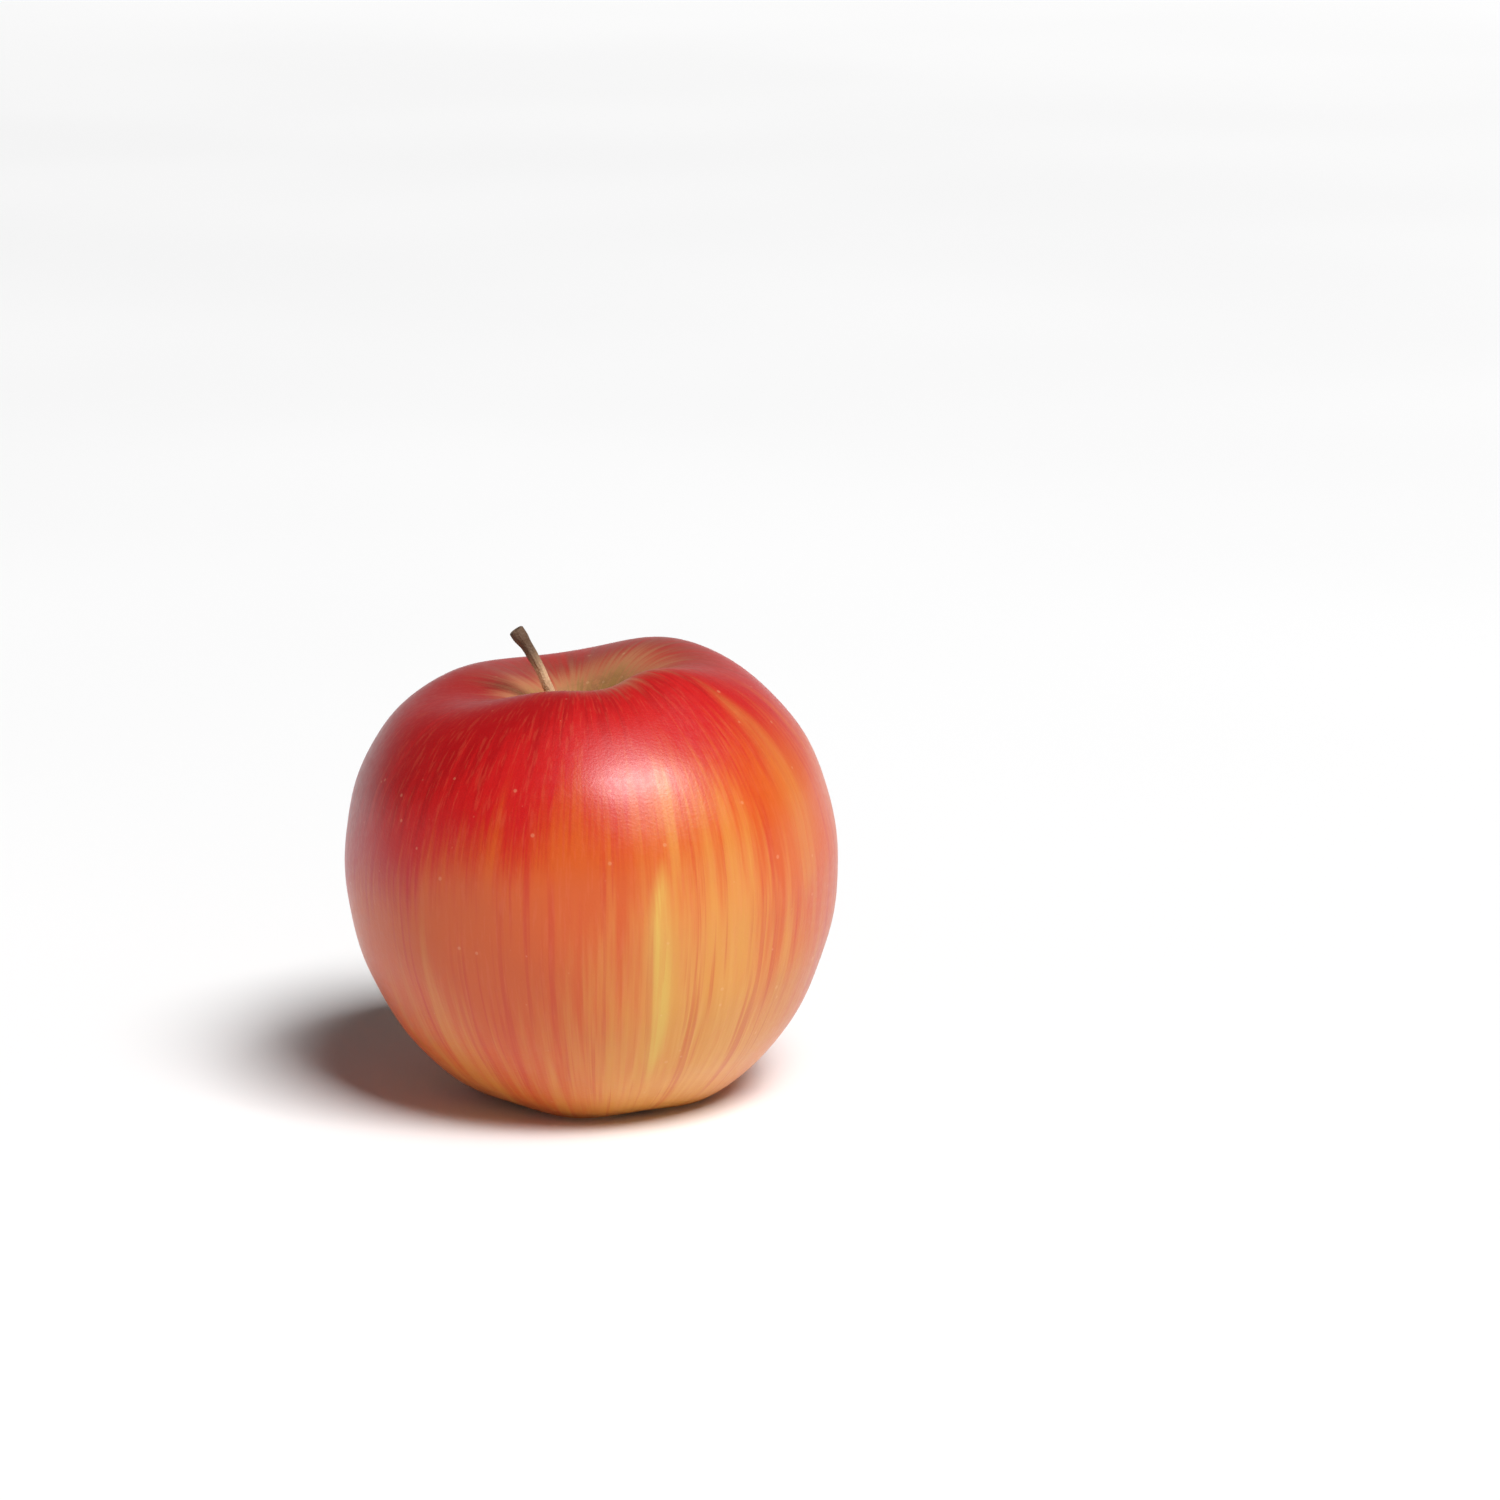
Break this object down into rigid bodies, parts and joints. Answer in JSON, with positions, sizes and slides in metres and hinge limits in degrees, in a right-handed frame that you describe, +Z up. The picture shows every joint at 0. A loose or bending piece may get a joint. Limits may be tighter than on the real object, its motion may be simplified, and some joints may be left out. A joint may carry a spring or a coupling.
{
  "type": "apple",
  "caption": "Whole picked apple with a leaning woody stem in its top cavity and a dried calyx in its base, standing on the flat lobes of its base.",
  "frame": {"origin": "On the surface that the apple stands on, under the middle of its box.", "axes": "+Z up, from the calyx to the stem. +X along the widest direction, with the stem leaning towards -X. -Y is the side that faces the viewer in the reference view."},
  "size_m": [0.076, 0.0742, 0.0733],
  "materials": {
    "skin": "satin",
    "stem": "matte",
    "sepal": "matte",
    "stamen": "matte"
  },
  "bodies": {
    "root": {"fruit": "skin", "stem": "stem", "sepal_1": "sepal", "sepal_2": "sepal", "sepal_3": "sepal", "sepal_4": "sepal", "sepal_5": "sepal", "dried_stamens": "stamen"}
  },
  "joints": []
}
